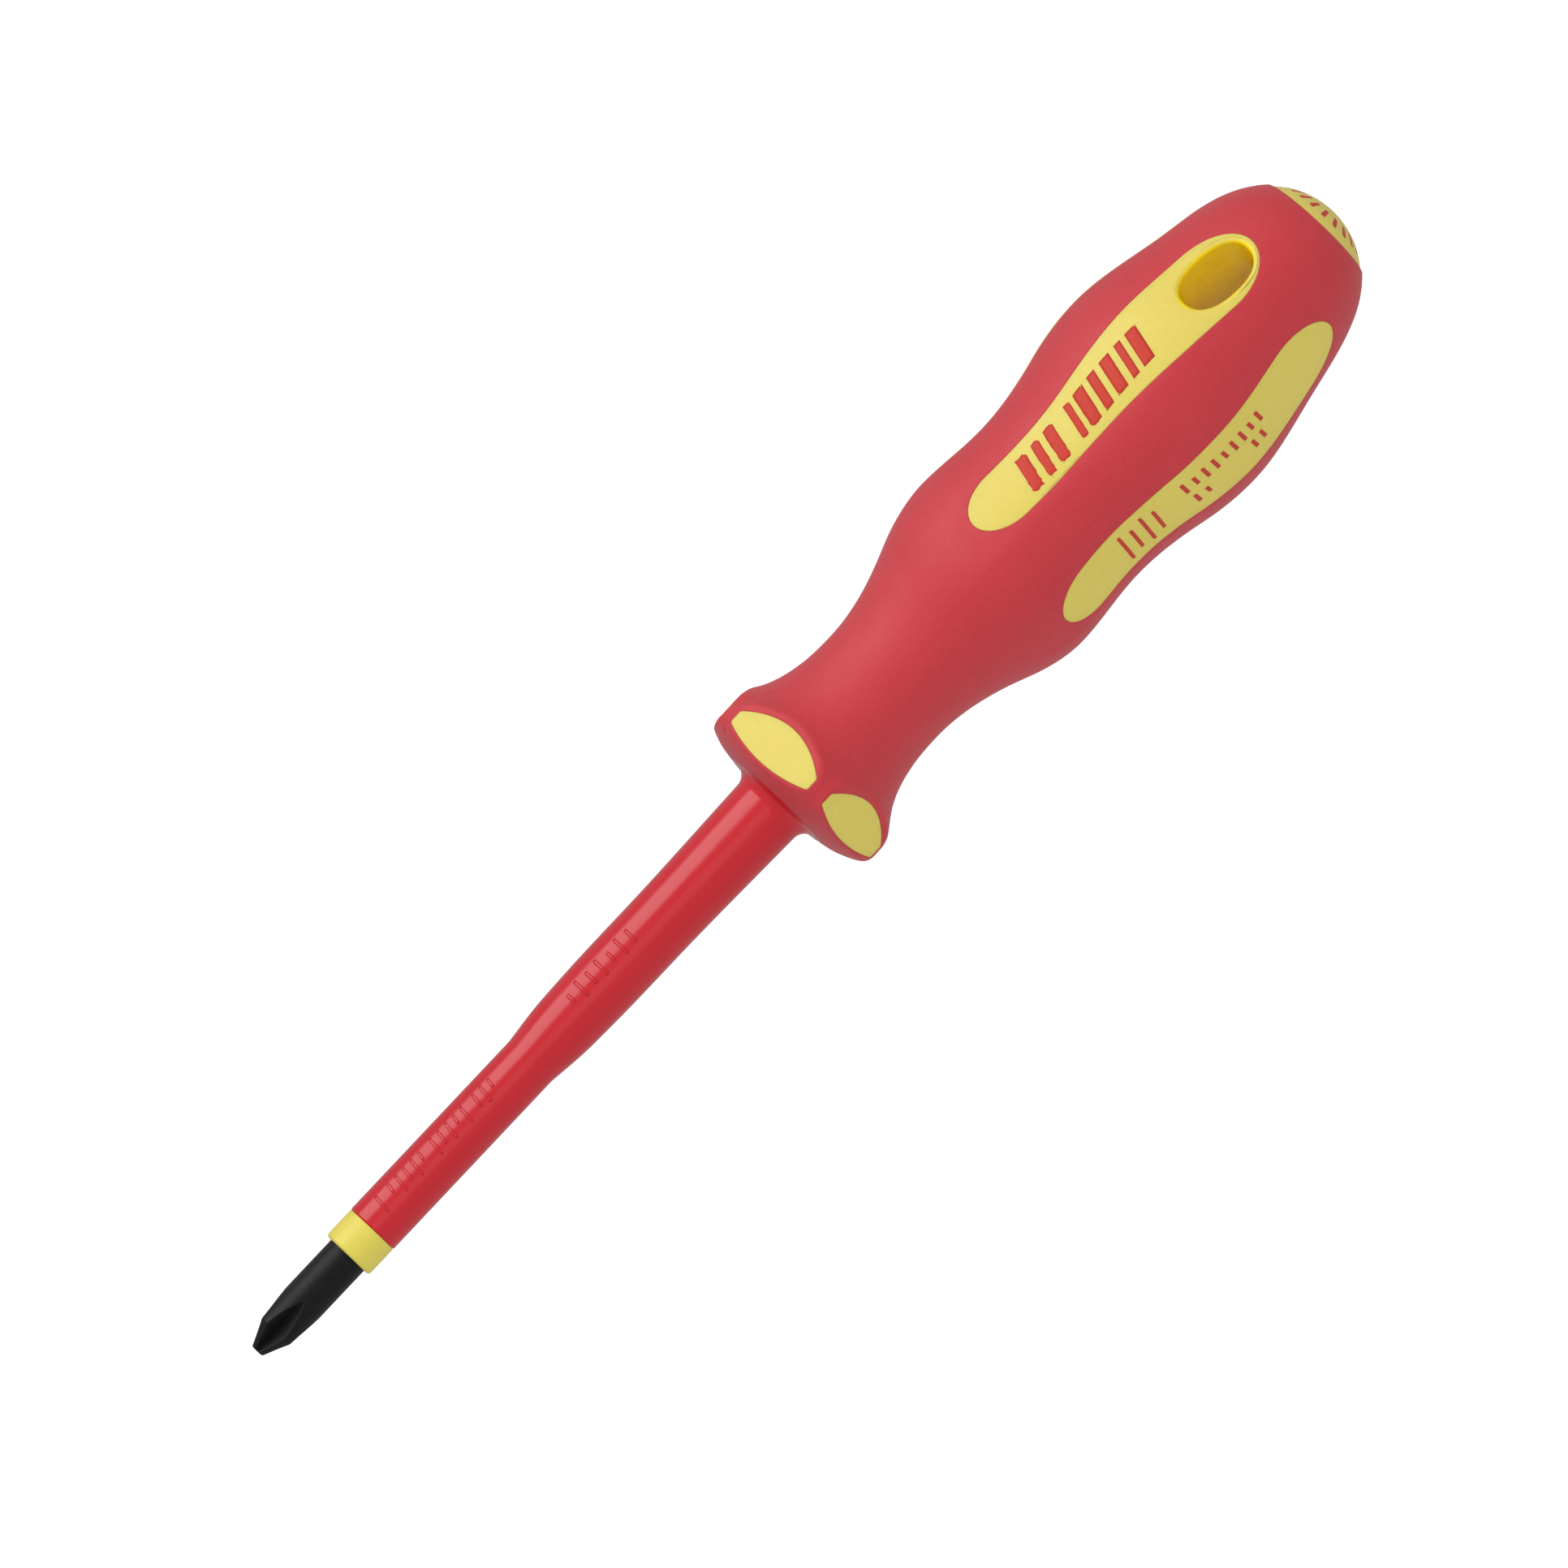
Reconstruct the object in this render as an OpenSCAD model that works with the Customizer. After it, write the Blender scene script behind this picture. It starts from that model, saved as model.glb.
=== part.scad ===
// Insulated screwdriver with a cross-point blade and a two-component handle.
//
// The model is drawn along its own axis (tip at 0, handle upwards) and laid down at the end:
// +X runs from the blade's tip to the end cap, +Z runs along the hanging hole, out of the panel
// that the hole opens in. The origin is on the axis at the very end of the tip.
// "behind the front face" is a distance along the axis from the front face of the guard.

/* [Blade] */
// Length of the blade from its tip to the front face of the guard
blade_len = 100; // [80:5:150]
// Diameter of the steel shank
shank_d = 6; // [5.8:0.1:6.2]
// Diameter of the flat at the end of the tip
tip_d = 1.9; // [1.4:0.1:2.2]
// Thickness of the web of steel left between opposite flutes
tip_web = 1.2; // [1:0.1:1.6]
// Bare length of the shank, from the tip to the yellow insulation
bare_len = 17.4; // [14:0.2:18]
// How far the shank goes into the handle, behind the front face
shank_depth = 68; // [60:1:72]

/* [Insulation] */
// Outer diameter of the yellow inner insulation's bare collar
collar_d = 7.66; // [7.4:0.02:7.7]
// Length of the yellow collar
collar_len = 4.7; // [3:0.1:6]
// Wall of the yellow insulation under the red sleeve
inner_wall = 0.45; // [0.4:0.05:0.6]
// Outer diameter of the thin part of the red sleeve
sleeve_d = 7.74; // [7.7:0.02:8]
// Outer diameter of the red sleeve at its thick end, by the guard
sleeve_end_d = 10.3; // [10:0.1:10.6]
// Diameter of the sleeve's flange on the front of the guard
flange_d = 16.2; // [15:0.2:17]

/* [Handle] */
// Largest diameter of the handle
handle_d = 34; // [33.4:0.2:34.4]
// Length of the handle, from the front face of the guard to the rim of the end cap
handle_len = 104.6; // [104.2:0.1:105]
// Thickness of the soft red covering
grip_wall = 1.9; // [1.7:0.1:2.1]
// Distance from the axis to each flat of the guard
guard_flat = 12.6; // [12.5:0.05:12.8]
// Diameter of the end cap
cap_d = 16.6; // [16:0.1:16.7]
// How far the end cap's dome stands out past its rim
cap_rise = 3.4; // [2.5:0.1:3.8]

/* [Hanging hole] */
// Width of the hanging hole, across the handle
hole_w = 6.8; // [6:0.1:7]
// Length of the hanging hole, along the handle
hole_len = 11.2; // [10:0.1:12]
// Middle of the hanging hole, behind the front face
hole_at = 89.6; // [89:0.2:90.2]

/* [Hidden] */
$fn = 96;
steel_black = "#2b2b2c";
core_yellow = "#e3d46c";
inner_yellow = "#dccb5e";
grip_red = "#c8404c";
sleeve_red = "#c21f2e";
hub_grey = "#8c8f92";

sides = 5;                       // flats on the guard, and panels on the handle
side_step = 360 / sides;
hole_side = 90;                  // direction of the panel that the hanging hole opens in
flute_side = 112.5;              // direction of the first flute of the tip
shank_r = shank_d / 2;
inner_r = shank_r + inner_wall;
bit = 0.01;                      // how far a cutter runs past the face that it opens
far = 40;                        // reach of a cutter that clears the whole handle

// The grip's outline: [distance behind the front face, radius, slope]
swell = handle_d / 34;
grip_line = [
    [0.1, flange_d / 2, 8],
    [0.9, 11.5, 2.6],
    [2.5, 14.3, 0.8],
    [4.7, 14.7, 0],
    [7.5, 13.6, -0.85],
    [10.6, 11.5, -0.45],
    [20.8, 9.75, 0],
    [35, 13.1, 0.42],
    [43.6, 15.1, 0],
    [54.6, 14.35, 0],
    [66, 15.9 * swell, 0.24],
    [75, handle_d / 2, 0],
    [88, 14.9 * swell, -0.21],
    [98, 12.55, -0.33],
    [handle_len, cap_d / 2 + 0.4, -0.95]
];
line_step = 2.4;                 // aim for the length of one step along the grip's outline

// Cubic through two stations of an outline, at u = 0 to 1 between them
function between(a, b, u) =
    let (run = b[0] - a[0], v = 1 - u)
    (1 + 2 * u) * v * v * a[1] + u * v * v * run * a[2]
    + u * u * (3 - 2 * u) * b[1] - u * u * v * run * b[2];

// Points of an outline between the stations first and last, closer together on its short runs
function line_points(line, first, last) = [
    for (i = [first:last - 1])
        let (run = line[i + 1][0] - line[i][0], n = max(2, round(run / line_step)))
        for (k = [0:n - 1])
            [between(line[i], line[i + 1], k / n), line[i][0] + run * k / n],
    [line[last][1], line[last][0]]
];

grip_outside = line_points(grip_line, 0, len(grip_line) - 1);

// The hard core's outline under the soft grip, worked out from the grip's own
core_neck_station = 5;           // station of grip_line where the core starts to follow the grip
core_back = handle_len - 1.3;    // the core's back face, where the end cap sits on it
seat_depth = 1.6;                // the sleeve flange's thickness, behind the front face
core_follow = [
    for (p = line_points(grip_line, core_neck_station, len(grip_line) - 1))
        if (p[1] < core_back - 0.5) [p[0] - grip_wall, p[1]]
];
core_outside = concat(
    [[flange_d / 2, seat_depth], [10.6, 2.7], [12.2, 3.6], [12.2, 5.6], [11.4, 7.6]],
    core_follow,
    [[cap_d / 2 - 0.6, core_back]]
);

// Turned solid between the axis and an outline
module turned(outline) {
    rotate_extrude() polygon(concat([[0, outline[0][1]]], outline, [[0, outline[len(outline) - 1][1]]]));
}

// Whatever is drawn, stood on the handle's front face
module on_handle() {
    translate([0, 0, blade_len]) children();
}

// Whatever is drawn, repeated on each side of the handle, starting with the hole's side
module each_side() {
    for (k = [0:sides - 1]) rotate(hole_side - 90 + side_step * k) children();
}

// ---- tip and shank ----

// One grinding wheel's cut: a right-angled edge that runs out along the blade
module flute_cut() {
    wheel_r = 20;
    edge_h = 5;
    wheel_at = -0.3;             // where along the blade the cut is deepest
    translate([wheel_r + tip_web / 2, 0, wheel_at]) rotate([90, 0, 0])
        rotate_extrude() polygon([[wheel_r, 0], [wheel_r - edge_h, edge_h], [wheel_r - edge_h, -edge_h]]);
    // the open side of the cut, outside the wheel's own edge
    translate([tip_web / 2 + edge_h - bit, -edge_h, wheel_at - 5]) cube([edge_h, 2 * edge_h, 10]);
}

// Pair of wings pressed out of the shank, which keep it from turning in the handle
module shank_wings() {
    wing_span = 9.2;
    wing_t = 1.6;
    wing_len = 8;
    for (at = [36, 52]) on_handle() translate([-wing_span / 2, -wing_t / 2, at]) cube([wing_span, wing_t, wing_len]);
}

module blade_form() {
    end = blade_len + shank_depth;
    cone_len = 3.65;             // length of the tip's cone, from the flat to the full shank
    turned([[tip_d / 2, 0], [shank_r, cone_len], [shank_r, end - 1], [shank_r - 1, end]]);
    shank_wings();
}

module blade() {
    color(steel_black) difference() {
        blade_form();
        for (k = [0:3]) rotate(flute_side + 90 * k) flute_cut();
    }
}

// ---- blade insulation ----

tail_end = 12;                   // where the insulation ends inside the handle, behind the front face

module inner_insulation() {
    edge = 0.5;                  // rounding of the collar's front edge
    collar_r = collar_d / 2;
    color(inner_yellow) rotate_extrude() polygon(concat(
        [[shank_r, bare_len]],
        [for (a = [0:22.5:90]) [collar_r - edge + edge * sin(a), bare_len + edge - edge * cos(a)]],
        [[collar_r, bare_len + collar_len], [inner_r, bare_len + collar_len]],
        [[inner_r, blade_len + tail_end], [shank_r, blade_len + tail_end]]
    ));
}

// The sleeve's tail, which the handle's core is moulded round, with a groove that locks it
tail_r = 6;
tail_groove_r = 5.3;
tail_outline = [
    [tail_r, seat_depth], [tail_r, 5], [tail_groove_r, 5.6], [tail_groove_r, 7.4], [tail_r, 8],
    [tail_r, tail_end - 0.6], [tail_r - 0.6, tail_end]
];

// The sleeve's outline in front of the handle: a thin part, a step and a slow taper
sleeve_line = [
    [-47.3, sleeve_d / 2, 0.12],
    [-43, sleeve_d / 2 + 0.48, 0.1],
    [-36.5, 4.65, 0.03],
    [-20, 4.78, 0.013],
    [-2.2, sleeve_end_d / 2, 0.02]
];

module outer_insulation() {
    front = bare_len + collar_len - blade_len;
    edge = 0.25;                 // rounding of the sleeve's front edge
    fillet_r = 2;                // fillet from the sleeve to its flange
    fillet_at = sleeve_end_d / 2 + fillet_r;
    color(sleeve_red) on_handle() rotate_extrude() polygon(concat(
        [[inner_r, front], [sleeve_d / 2 - edge, front], [sleeve_d / 2, front + edge]],
        line_points(sleeve_line, 0, len(sleeve_line) - 1),
        [for (a = [15:15:75]) [fillet_at - fillet_r * cos(a), -fillet_r + fillet_r * sin(a)]],
        [[flange_d / 2 - 0.5, 0], [flange_d / 2, 0.3], [flange_d / 2, seat_depth]],
        tail_outline,
        [[inner_r, tail_end]]
    ));
}

// ---- handle ----

// Hard hub moulded round the winged end of the shank, with rings that lock it in the core
hub_end = 72;
hub_neck_r = 5.6;
hub_r = 7.2;
hub_ring_r = 8.3;
hub_outline = concat(
    [[hub_neck_r, tail_end], [hub_neck_r, 26], [hub_r, 32]],
    [for (at = [38, 49, 60], p = [[hub_r, 0], [hub_ring_r, 0.8], [hub_ring_r, 3.2], [hub_r, 4]]) [p[0], at + p[1]]],
    [[hub_r, hub_end - 1], [hub_r - 1, hub_end]]
);

module inner_core() {
    color(hub_grey) difference() {
        on_handle() turned(hub_outline);
        blade_form();
    }
}

// The end cap's stem and its snap ring, which go into the core
stem_outline = [[4.2, 98.2], [4.4, 98.6], [4.4, 99.6], [4.9, 100.1], [4.4, 100.6], [4.4, core_back]];

module end_cap() {
    cap_r = cap_d / 2;
    dome_r = (cap_r * cap_r + cap_rise * cap_rise) / (2 * cap_rise);
    half = asin(cap_r / dome_r);
    arc_steps = 8;
    color(core_yellow) on_handle() turned(concat(
        stem_outline,
        [[cap_r, core_back], [cap_r, handle_len]],
        [for (k = [arc_steps - 1:-1:1])
            [dome_r * sin(half * k / arc_steps), handle_len + cap_rise - dome_r * (1 - cos(half * k / arc_steps))]],
        [[bit, handle_len + cap_rise]]
    ));
}

// Half width of a panel at a distance behind the front face: narrow in front, wide behind, round ends
panel_front = 43.4;
panel_back = 96.2;
panel_front_round = 6;
panel_back_round = 8.5;
panel_front_half = 3.95;
panel_back_half = 5.2;
function ease(u) = u <= 0 ? 0 : u >= 1 ? 1 : u * u * (3 - 2 * u);
function panel_half(h) = panel_front_half + (panel_back_half - panel_front_half) * ease((h - 57) / 22);

// Panel's outline as [along, across] points, with both ends rounded by quarter ellipses
end_steps = 6;
mid_steps = 7;
panel_edge = concat(
    [for (k = [0:end_steps])
        let (a = 90 * k / end_steps, h = panel_front + panel_front_round * (1 - cos(a)))
        [h, panel_half(h) * sin(a)]],
    [for (k = [1:mid_steps - 1])
        let (h = panel_front + panel_front_round
            + (panel_back - panel_back_round - panel_front - panel_front_round) * k / mid_steps)
        [h, panel_half(h)]],
    [for (k = [end_steps:-1:0])
        let (a = 90 * k / end_steps, h = panel_back - panel_back_round * (1 - cos(a)))
        [h, panel_half(h) * sin(a)]]
);
window_floor = 9;                // distance from the axis where the core's panels and pads start
panel_points = concat(panel_edge, [for (k = [len(panel_edge) - 2:-1:1]) [panel_edge[k][0], -panel_edge[k][1]]]);

// Space that one panel of the core takes, from inside the core outwards
module panel_space() {
    rotate([-90, -90, 0]) translate([0, 0, window_floor]) linear_extrude(far) polygon(panel_points);
}

// Space that one pad of the guard takes, with the red lip left round it
pad_half = 7.2;
module pad_space() {
    root_half = 5;
    top = guard_flat + 1;
    intersection() {
        linear_extrude(12) polygon([[-root_half, window_floor], [root_half, window_floor],
            [pad_half, guard_flat], [pad_half, top], [-pad_half, top], [-pad_half, guard_flat]]);
        turned([[12.2, 1.85], [14.9, 3.6], [14.9, 5.1], [12.2, 7.7]]);
    }
}

// The hanging hole, a slot with round ends, which grow widens all round
module hole_form(grow) {
    r = hole_w / 2 + grow;
    end = (hole_len - hole_w) / 2;
    translate([0, 0, hole_at]) rotate([90, 0, 0]) {
        for (side = [-1, 1]) translate([0, side * end, -far]) cylinder(r = r, h = 2 * far);
        translate([-r, -end, -far]) cube([2 * r, 2 * end, 2 * far]);
    }
}

// Wall of the core round the hole where it comes out between two panels
module hole_rim_space() {
    rim = 1.3;
    intersection() {
        hole_form(rim);
        translate([-far, -far - window_floor, 0]) cube([2 * far, far, handle_len]);
    }
}

// Every place where the core shows through the grip
module windows() {
    each_side() {
        panel_space();
        pad_space();
    }
    hole_rim_space();
}

// The handle's whole outside: the turned outline with the guard's flats cut on it
module grip_envelope() {
    difference() {
        turned(grip_outside);
        each_side() translate([-far, guard_flat, -1]) cube([2 * far, far, 13]);
    }
}

module handle_core() {
    color(core_yellow) on_handle() difference() {
        union() {
            turned(core_outside);
            intersection() {
                grip_envelope();
                windows();
            }
        }
        turned(tail_outline);
        turned(hub_outline);
        turned(stem_outline);
        hole_form(0);
    }
}

module soft_grip() {
    cap_seat = [[cap_d / 2, core_back], [cap_d / 2, handle_len + 1]];
    color(grip_red) on_handle() difference() {
        grip_envelope();
        turned(concat([[flange_d / 2, -1]], core_outside, cap_seat));
        windows();
        hole_form(0);
    }
}

// Lays the tool down, from its own axis to the part's frame
module laid() {
    rotate([90, 0, 90]) children();
}

laid() blade();
laid() inner_insulation();
laid() outer_insulation();
laid() inner_core();
laid() handle_core();
laid() end_cap();
laid() soft_grip();
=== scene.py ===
"""Looks of the insulated screwdriver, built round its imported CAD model.

Everything is worked out in millimetres and turned into metres when a mesh is made. A place on
the handle is given by h, its distance behind the guard's front face, and delta, its angle from
the middle of the nearest of the handle's five sides. X runs along the tool, from tip to cap.
"""
import math

import bmesh
import bpy
import numpy as np
from mathutils import Matrix, Vector


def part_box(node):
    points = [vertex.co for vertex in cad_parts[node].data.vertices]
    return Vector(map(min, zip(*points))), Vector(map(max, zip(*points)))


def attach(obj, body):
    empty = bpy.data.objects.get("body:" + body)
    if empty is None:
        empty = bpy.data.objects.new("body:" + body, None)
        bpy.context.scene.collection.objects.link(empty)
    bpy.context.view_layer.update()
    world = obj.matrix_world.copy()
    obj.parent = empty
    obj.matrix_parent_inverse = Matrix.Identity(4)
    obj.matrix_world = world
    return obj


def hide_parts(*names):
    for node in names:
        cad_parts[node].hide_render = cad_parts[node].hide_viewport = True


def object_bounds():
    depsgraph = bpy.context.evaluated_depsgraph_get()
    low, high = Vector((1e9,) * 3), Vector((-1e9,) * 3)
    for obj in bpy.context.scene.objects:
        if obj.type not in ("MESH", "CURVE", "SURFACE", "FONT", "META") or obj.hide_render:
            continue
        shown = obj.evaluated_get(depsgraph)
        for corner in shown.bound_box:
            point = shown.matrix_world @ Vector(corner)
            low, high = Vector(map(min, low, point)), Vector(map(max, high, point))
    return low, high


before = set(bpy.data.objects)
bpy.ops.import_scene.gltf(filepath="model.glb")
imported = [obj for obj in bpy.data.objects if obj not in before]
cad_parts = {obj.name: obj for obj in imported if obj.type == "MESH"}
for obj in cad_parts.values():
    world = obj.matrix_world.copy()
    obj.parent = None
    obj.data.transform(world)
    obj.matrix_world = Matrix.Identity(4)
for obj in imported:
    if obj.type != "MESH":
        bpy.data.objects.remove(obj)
cad_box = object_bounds()

MM = 0.001


def node_span(node, axis=0):
    """A CAD node's lowest and highest place along an axis, in millimetres."""
    low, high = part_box(node)
    return low[axis] / MM, high[axis] / MM


# ---- sizes, from the frame where it holds them ----

SEAM = 0.1                                   # the grip starts this far behind the front face
FRONT = node_span("soft_grip")[0] - SEAM     # X of the guard's front face
BARE_END = node_span("inner_insulation")[0]  # X where the yellow collar starts
SLEEVE_START = node_span("outer_insulation")[0]
BLADE_END = node_span("blade")[1]
HANDLE_LEN = node_span("soft_grip")[1] - FRONT
CAP_RISE = node_span("end_cap")[1] - node_span("soft_grip")[1]
CAP_R = node_span("end_cap", 1)[1]
CAP_DOME_R = (CAP_R ** 2 + CAP_RISE ** 2) / (2 * CAP_RISE)
SHANK_R = 3.0
COLLAR_R = node_span("inner_insulation", 1)[1]
FLANGE_R = node_span("outer_insulation", 1)[1]
INNER_R = 3.45                               # where the collar's layer meets the red sleeve
SLEEVE_ROOT = 12.0                           # how far both layers reach into the handle

SIDES = 5
HALF_SIDE = math.pi / SIDES
HOLE_SIDE = math.pi / 2                      # the hole opens upwards, in the first side
GUARD_FLAT = 12.6                            # distance from the axis to the guard's flats
GUARD_END = 16.0                             # the guard's flats have run out by this h
HOLE_R = 3.45                                # half the width of the hanging hole
HOLE_LEN = 11.2
HOLE_AT = 89.6                               # h of its middle

# Outline of the grip: (h, radius, slope)
GRIP_LINE = (
    (SEAM, FLANGE_R, 8.0),
    (0.9, 11.5, 2.6),
    (2.5, 14.3, 0.8),
    (4.7, 14.7, 0.0),
    (7.5, 13.6, -0.85),
    (10.6, 11.5, -0.45),
    (20.8, 9.75, 0.0),
    (35.0, 13.1, 0.42),
    (43.6, 15.1, 0.0),
    (54.6, 14.35, 0.0),
    (66.0, 15.9, 0.24),
    (75.0, 17.0, 0.0),
    (88.0, 14.9, -0.21),
    (98.0, 12.55, -0.33),
    (HANDLE_LEN, CAP_R + 0.4, -0.95),
)

# Outline of the red sleeve in front of the handle: (h, radius, slope)
SLEEVE_R = 3.87
SLEEVE_END_R = 5.15
FILLET_R = 2.0
SLEEVE_LINE = (
    (-47.3, SLEEVE_R, 0.12),
    (-43.0, 4.35, 0.1),
    (-36.5, 4.65, 0.03),
    (-20.0, 4.78, 0.013),
    (-2.2, SLEEVE_END_R, 0.02),
)


# ---- curves and surfaces ----

def hermite(line, steps):
    """Points of a line of (place, value, slope) stations, as an array of (place, value)."""
    out = []
    for a, b in zip(line, line[1:]):
        u = np.arange(steps) / steps
        run = b[0] - a[0]
        value = ((1 + 2 * u) * (1 - u) ** 2 * a[1] + u * (1 - u) ** 2 * run * a[2]
                 + u ** 2 * (3 - 2 * u) * b[1] - u ** 2 * (1 - u) * run * b[2])
        out.append(np.column_stack([a[0] + run * u, value]))
    out.append([[line[-1][0], line[-1][1]]])
    return np.vstack(out)


def smooth_min(a, b, blend):
    """The lower of two values, with the corner between them rounded."""
    k = np.clip(0.5 + 0.5 * (b - a) / blend, 0, 1)
    return b * (1 - k) + a * k - blend * k * (1 - k)


def smooth_max(a, b, blend):
    return -smooth_min(-a, -b, blend)


def ease(u):
    """0 to 1 with a level start and end."""
    u = np.clip(u, 0, 1)
    return u * u * (3 - 2 * u)


GRIP_CURVE = hermite(GRIP_LINE, 40)
GRIP_V = np.concatenate([[0], np.cumsum(np.hypot(*np.diff(GRIP_CURVE, axis=0).T))])


def v_of(h):
    """Distance along the grip's outline at h."""
    return np.interp(h, GRIP_CURVE[:, 0], GRIP_V)


def h_of(v):
    return np.interp(v, GRIP_V, GRIP_CURVE[:, 0])


def radius_of(h):
    return np.interp(h, GRIP_CURVE[:, 0], GRIP_CURVE[:, 1])


GUARD_EDGE = 0.3                             # rounding of the guard's edges, and their dip at a corner
CORNER_REACH = math.radians(6)
SIDE_DROP = 0.4                              # how far a panel's middle lies below the turned outline
SIDE_REACH = math.radians(19)                # half the angle that a flattened side covers


def section(h, delta):
    """The handle's radius at h and delta: the turned outline, the guard's flats, the flatter sides."""
    r = radius_of(h)
    corner = np.exp(-((HALF_SIDE - np.abs(delta)) / CORNER_REACH) ** 2)
    crest = ease((r - 12.9) / 1.8)           # the corners dip only where the guard is widest
    guard = smooth_min(r, GUARD_FLAT / np.cos(delta), GUARD_EDGE) - GUARD_EDGE * corner * crest
    drop = SIDE_DROP * (1 - (delta / SIDE_REACH) ** 2) * ease((h - 32) / 10) * ease((99 - h) / 11)
    return np.where(h < GUARD_END, guard, r - smooth_max(drop, 0, 0.1))


def on_handle(h, r, delta, side):
    """Places on the handle in the part's frame, in millimetres, for arrays of h, radius and delta."""
    angle = HOLE_SIDE + side * 2 * HALF_SIDE + delta
    return np.stack(np.broadcast_arrays(FRONT + h, r * np.cos(angle), r * np.sin(angle)), axis=-1)


class Shell:
    """Collects quads as grids of points, and makes one mesh object of them."""

    def __init__(self):
        self.points = []
        self.faces = []
        self.count = 0

    def grid(self, points, wrap_rows=False, wrap_cols=False):
        """Adds a grid of points, an array of rows x columns x 3, as quads."""
        rows, cols = points.shape[:2]
        index = self.count + np.arange(rows * cols).reshape(rows, cols)
        if wrap_rows:
            index = np.vstack([index, index[:1]])
        if wrap_cols:
            index = np.hstack([index, index[:, :1]])
        quads = np.stack([index[:-1, :-1], index[1:, :-1], index[1:, 1:], index[:-1, 1:]], axis=-1)
        self.points.append(points.reshape(-1, 3))
        self.faces.append(quads.reshape(-1, 4))
        self.count += rows * cols

    def fan(self, ring):
        """Closes a ring of points with triangles round its middle."""
        middle = ring.mean(axis=0)
        self.grid(np.stack([ring, np.broadcast_to(middle, ring.shape)]), wrap_cols=True)

    def make(self, name, material, weld=0.002):
        """Makes the piece, with points closer than weld joined into one."""
        mesh = bpy.data.meshes.new(name)
        points = np.vstack(self.points) * MM
        mesh.from_pydata(points.tolist(), [], np.vstack(self.faces).tolist())
        body = bmesh.new()
        body.from_mesh(mesh)
        bmesh.ops.remove_doubles(body, verts=body.verts, dist=weld * MM)
        bmesh.ops.dissolve_degenerate(body, dist=weld * MM * 0.5, edges=body.edges)
        bmesh.ops.recalc_face_normals(body, faces=body.faces)
        for face in body.faces:
            face.smooth = True
        body.to_mesh(mesh)
        body.free()
        mesh.materials.append(material)
        piece = bpy.data.objects.new(name, mesh)
        bpy.context.scene.collection.objects.link(piece)
        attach(piece, "root")
        return piece


def lathe(shell, outline, turns=192):
    """Adds a turned surface: outline is a list of (X, radius) in millimetres, closed on itself."""
    outline = np.asarray(outline, float)
    angle = np.arange(turns) * 2 * math.pi / turns
    x = np.repeat(outline[:, :1], turns, axis=1)
    shell.grid(np.stack([x, outline[:, 1:] * np.cos(angle), outline[:, 1:] * np.sin(angle)], axis=-1),
               wrap_cols=True)


def arc(centre, radius, start, end, steps):
    """Points of an arc in (X, radius), angles in degrees, 0 towards +X and 90 outwards."""
    a = np.radians(np.linspace(start, end, steps + 1))
    return np.column_stack([centre[0] + radius * np.cos(a), centre[1] + radius * np.sin(a)])


# ---- materials ----

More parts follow.
